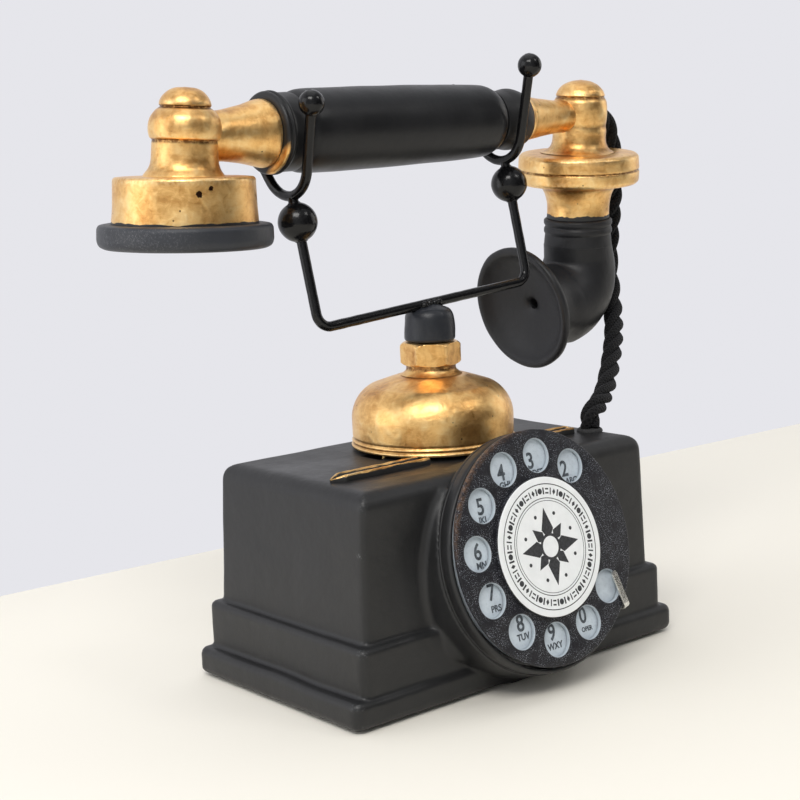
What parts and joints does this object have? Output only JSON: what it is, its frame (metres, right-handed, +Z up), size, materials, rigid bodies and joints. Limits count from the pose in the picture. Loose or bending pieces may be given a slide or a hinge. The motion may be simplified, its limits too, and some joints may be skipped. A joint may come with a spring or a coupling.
{
  "type": "telephone",
  "caption": "Desk telephone with a sloping finger dial, a bell on top, a wire cradle and a two-ended handset with a curved mouthpiece on a cord.",
  "frame": {"origin": "on the table, under the middle of the base", "axes": "+X along the front, to the right as seen from the dial; +Y to the back; +Z up"},
  "size_m": [0.2318, 0.1046, 0.2038],
  "materials": {
    "black_enamel": "satin",
    "gilt_trim": "satin",
    "rubber": "matte",
    "steel": "satin",
    "antique_gold": "satin",
    "brass": "satin",
    "plate_enamel": "gloss",
    "bright_steel": "polished",
    "dial_black": "gloss",
    "card": "matte",
    "fibre": "matte",
    "coil_wrap": "matte",
    "black_wire": "gloss",
    "black_grip": "satin",
    "cord_cotton": "matte"
  },
  "bodies": {
    "housing": {"housing": "black_enamel", "top_rail": "gilt_trim", "cord_gland": "rubber", "base_plate": "steel", "base_screws": "steel", "rubber_feet": "rubber", "gong": "antique_gold", "gong_standoff": "steel", "gong_nut": "antique_gold", "plunger_bush": "brass", "dial_cup": "black_enamel", "number_plate": "plate_enamel", "finger_stop": "bright_steel", "dial_frame": "steel", "dial_bridge": "steel", "dial_screws": "steel", "spring_barrel": "brass", "return_spring": "steel", "pulse_contacts": "brass", "ringer_bracket": "steel", "ringer_cores": "steel", "ringer_coils": "coil_wrap", "hammer_pivot": "steel", "hook_bracket": "steel", "hook_contacts": "brass", "hook_spring": "steel", "induction_coil": "fibre", "condenser": "steel", "terminal_block": "fibre", "terminal_screws": "brass"},
    "dial": {"finger_wheel": "dial_black", "card_holder": "dial_black", "centre_card": "card", "dial_shaft": "steel", "main_gear": "brass"},
    "governor": {"governor_shaft": "steel", "pulse_cam": "fibre", "governor_wheel": "steel"},
    "hammer": {"hammer_arm": "brass", "armature": "steel"},
    "cradle": {"cradle_post": "black_wire", "cradle_wire": "black_wire", "cradle_balls": "black_wire", "fork_tips": "black_wire"},
    "handset": {"grip_barrel": "black_grip", "left_collar": "black_grip", "right_collar": "black_grip", "receiver_arm": "antique_gold", "receiver_hub": "antique_gold", "receiver_shell": "antique_gold", "receiver_magnet": "steel", "ear_cap": "black_grip", "transmitter_arm": "antique_gold", "transmitter_hub": "antique_gold", "transmitter_shell": "antique_gold", "carbon_capsule": "steel", "threaded_collar": "black_grip", "elbow_horn": "black_grip", "tie_rod": "steel", "cord": "cord_cotton"}
  },
  "joints": [
    {"name": "dial_spin", "type": "hinge", "parent": "housing", "child": "dial", "pos_m": [0, -0.0522, 0.0466], "axis": [0, 0.969, -0.247], "range_deg": [0, 320], "stiffness_Nm_per_rad": 0.01, "springref_deg": -57.3},
    {"name": "governor_spin", "type": "hinge", "parent": "housing", "child": "governor", "pos_m": [-0.01732, -0.04973, 0.05629], "axis": [0, 0.969, -0.247], "range_deg": [-1280.1, 0]},
    {"name": "hammer_swing", "type": "hinge", "parent": "housing", "child": "hammer", "pos_m": [-0.026, 0.0047, 0.037], "axis": [0, -1, 0], "range_deg": [0, 2.5], "stiffness_Nm_per_rad": 0.05, "springref_deg": -2.86},
    {"name": "handset_lift", "type": "slide", "parent": "housing", "child": "handset", "axis": [0, 0, 1], "range_m": [0, 0.024], "deforming": ["cord"]},
    {"name": "cradle_lift", "type": "slide", "parent": "housing", "child": "cradle", "axis": [0, 0, 1], "range_m": [0, 0.00401], "deforming": ["hook_spring"]}
  ],
  "couplings": [
    {"joint": "governor_spin", "follows": "dial_spin", "ratio": -4},
    {"joint": "cradle_lift", "follows": "handset_lift", "ratio": 0.16667}
  ]
}
